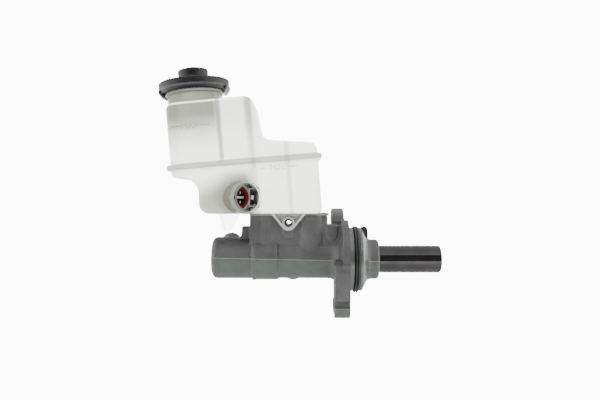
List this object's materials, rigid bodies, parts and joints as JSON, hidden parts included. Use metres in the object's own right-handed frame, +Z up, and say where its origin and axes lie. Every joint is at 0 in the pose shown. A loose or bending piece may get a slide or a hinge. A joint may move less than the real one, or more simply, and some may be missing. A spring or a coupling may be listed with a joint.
{
  "type": "brake master cylinder",
  "caption": "Tandem brake master cylinder with fluid reservoir, filler cap, level switch, two sprung pistons and a flange for the brake booster.",
  "frame": {"origin": "on the bore's axis, in the flange face that meets the brake booster", "axes": "+X along the bore towards the booster, +Z up, -Y towards the level switch"},
  "size_m": [0.265, 0.0824, 0.2322],
  "materials": {
    "casting": "as cast, matt",
    "tank": "milky, translucent",
    "cap": "moulded, satin",
    "rubber": "moulded",
    "strainer": "moulded",
    "pin_steel": "oiled",
    "switch_plastic": "moulded",
    "red_plastic": "moulded",
    "black_plastic": "moulded",
    "white_plastic": "moulded",
    "terminal_metal": "tinned",
    "reed_glass": "clear",
    "float_foam": "foamed",
    "magnet": "sintered",
    "piston_metal": "hard anodised, ground",
    "spring_steel": "drawn wire",
    "pressed_steel": "plated",
    "bolt_steel": "plain",
    "bush_plastic": "moulded"
  },
  "bodies": {
    "housing": {"cylinder_body": "casting", "front_outlet_boss": "casting", "rear_outlet_boss": "casting", "reservoir_upper": "tank", "reservoir_lower": "tank", "filler_strainer": "strainer", "front_grommet": "rubber", "rear_grommet": "rubber", "retaining_pin": "pin_steel", "switch_shell": "switch_plastic", "switch_seal": "red_plastic", "terminal_block": "black_plastic", "terminal_divider": "white_plastic", "switch_terminals": "terminal_metal", "reed_switch": "reed_glass", "secondary_pressure_cup": "rubber", "separation_cup": "rubber", "primary_pressure_cup": "rubber", "primary_rear_cup": "rubber", "vacuum_seal": "rubber", "spigot_seal": "rubber", "guide_bush": "bush_plastic", "retaining_ring": "spring_steel", "secondary_spring": "spring_steel", "secondary_spring_seat": "pressed_steel"},
    "primary": {"primary_piston": "piston_metal", "stem_bolt": "bolt_steel"},
    "secondary": {"secondary_piston": "piston_metal", "primary_spring": "spring_steel", "primary_spring_seat": "pressed_steel"},
    "diaphragm": {"cap_diaphragm": "rubber"},
    "cap": {"filler_cap": "cap"},
    "float": {"level_float": "float_foam", "float_magnet": "magnet"}
  },
  "joints": [
    {"name": "primary_stroke", "type": "slide", "parent": "housing", "child": "primary", "axis": [-1, 0, 0], "range_m": [0, 0.03], "stiffness_N_per_m": 1500, "springref_m": -0.04, "deforming": ["primary_spring"]},
    {"name": "secondary_stroke", "type": "slide", "parent": "housing", "child": "secondary", "axis": [-1, 0, 0], "range_m": [0, 0.015], "deforming": ["secondary_spring"]},
    {"name": "cap_lift", "type": "slide", "parent": "housing", "child": "diaphragm", "axis": [-0.0872, 0, 0.9962], "range_m": [0, 0.06]},
    {"name": "cap_turn", "type": "hinge", "parent": "diaphragm", "child": "cap", "pos_m": [-0.14464, 0, 0.16142], "axis": [-0.0872, 0, 0.9962], "range_deg": [0, 60]},
    {"name": "float_rise", "type": "slide", "parent": "housing", "child": "float", "axis": [0, 0, 1], "range_m": [0, 0.012]}
  ],
  "couplings": [
    {"joint": "secondary_stroke", "follows": "primary_stroke", "ratio": 0.5}
  ]
}
